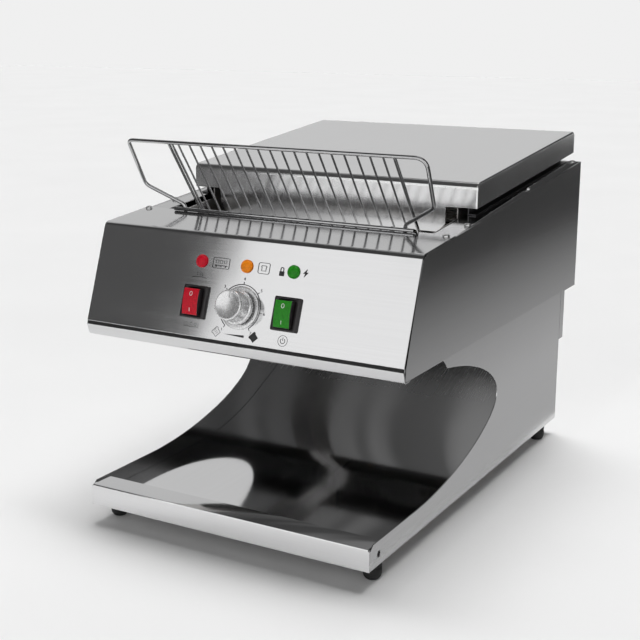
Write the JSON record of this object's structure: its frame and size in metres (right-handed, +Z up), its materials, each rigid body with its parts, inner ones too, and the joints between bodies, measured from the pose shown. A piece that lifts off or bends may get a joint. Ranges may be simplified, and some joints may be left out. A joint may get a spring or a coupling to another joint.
{
  "type": "conveyor toaster",
  "caption": "Countertop conveyor toaster: sloped control panel, wire loading rack, driven belt between heaters, raised hood and open curved toast tray on rubber feet.",
  "frame": {"origin": "centre of the footprint, on the surface the feet stand on", "axes": "+Z up, -Y towards the front with the tray and panel, +X to the right seen from the front"},
  "size_m": [0.368, 0.53, 0.397],
  "materials": {
    "polished_steel": "mirror-polished stainless sheet",
    "brushed_steel": "brushed stainless sheet",
    "rack_wire": "polished round wire",
    "inner_steel": "dull, heat-tinted",
    "belt_wire": "heat-tinted wire",
    "dark_steel": "dark oxide",
    "heater_sheath": "oxidised sheath with ceramic ends",
    "motor_paint": "satin",
    "bearing_bronze": "oiled bronze",
    "black_plastic": "glossy black",
    "red_plastic": "translucent red",
    "green_plastic": "translucent green",
    "amber_plastic": "translucent amber",
    "knob_silver": "silver coating",
    "foot_rubber": "black"
  },
  "bodies": {
    "housing": {"base_side_left": "polished_steel", "base_side_right": "polished_steel", "tray_front_lip": "polished_steel", "toast_slide": "polished_steel", "control_panel": "polished_steel", "housing_side_left": "polished_steel", "housing_side_right": "polished_steel", "upper_reflector": "polished_steel", "lower_reflector": "polished_steel", "front_screw_left": "polished_steel", "front_screw_right": "polished_steel", "rear_screw_left": "polished_steel", "rear_screw_right": "polished_steel", "hood": "brushed_steel", "rear_cover": "brushed_steel", "housing_rear_panel": "brushed_steel", "base_rear_panel": "brushed_steel", "base_floor_plate": "inner_steel", "housing_floor": "inner_steel", "chamber_wall_left": "inner_steel", "chamber_wall_right": "inner_steel", "front_bulkhead": "inner_steel", "conveyor_belt": "belt_wire", "hood_bracket_left": "dark_steel", "hood_bracket_right": "dark_steel", "drive_chain": "dark_steel", "upper_heater_1": "heater_sheath", "upper_heater_2": "heater_sheath", "upper_heater_3": "heater_sheath", "lower_heater_1": "heater_sheath", "lower_heater_2": "heater_sheath", "lower_heater_3": "heater_sheath", "motor": "motor_paint", "gearbox": "motor_paint", "drive_bearing_left": "bearing_bronze", "drive_bearing_right": "bearing_bronze", "idler_bearing_left": "bearing_bronze", "idler_bearing_right": "bearing_bronze", "red_switch_housing": "black_plastic", "green_switch_housing": "black_plastic", "terminal_block": "black_plastic", "cable_gland": "black_plastic", "speed_controller": "black_plastic", "red_lamp": "red_plastic", "green_lamp": "green_plastic", "amber_lamp": "amber_plastic", "speed_dial_plate": "knob_silver", "foot_front_left": "foot_rubber", "foot_front_right": "foot_rubber", "foot_rear_left": "foot_rubber", "foot_rear_right": "foot_rubber"},
    "drive_roller": {"drive_shaft": "inner_steel", "drive_sprocket": "dark_steel"},
    "idler_roller": {"idler_shaft": "inner_steel"},
    "motor_output": {"motor_output_shaft": "inner_steel", "motor_sprocket": "dark_steel"},
    "knob": {"speed_knob": "knob_silver"},
    "red_switch": {"red_rocker": "red_plastic"},
    "green_switch": {"green_rocker": "green_plastic"},
    "rack": {"loading_rack": "rack_wire"}
  },
  "joints": [
    {"name": "drive_roller_turn", "type": "hinge", "parent": "housing", "child": "drive_roller", "pos_m": [0, -0.093, 0.256], "axis": [1, 0, 0], "continuous": true},
    {"name": "idler_roller_turn", "type": "hinge", "parent": "housing", "child": "idler_roller", "pos_m": [0, 0.187, 0.2805], "axis": [1, 0, 0], "continuous": true},
    {"name": "motor_output_turn", "type": "hinge", "parent": "housing", "child": "motor_output", "pos_m": [0, -0.167, 0.246], "axis": [1, 0, 0], "continuous": true},
    {"name": "speed_knob_turn", "type": "hinge", "parent": "housing", "child": "knob", "pos_m": [0, -0.23527, 0.24831], "axis": [0, -0.9409, 0.3387], "range_deg": [-145, 145]},
    {"name": "red_rocker_press", "type": "hinge", "parent": "housing", "child": "red_switch", "pos_m": [-0.0533, -0.22586, 0.24492], "axis": [1, 0, 0], "range_deg": [-12, 0]},
    {"name": "green_rocker_press", "type": "hinge", "parent": "housing", "child": "green_switch", "pos_m": [0.0533, -0.22586, 0.24492], "axis": [1, 0, 0], "range_deg": [-12, 0]},
    {"name": "rack_lift", "type": "slide", "parent": "housing", "child": "rack", "axis": [0, 0, 1], "range_m": [0, 0.09]}
  ],
  "couplings": [
    {"joint": "idler_roller_turn", "follows": "drive_roller_turn", "ratio": 1},
    {"joint": "motor_output_turn", "follows": "drive_roller_turn", "ratio": 1.5}
  ]
}
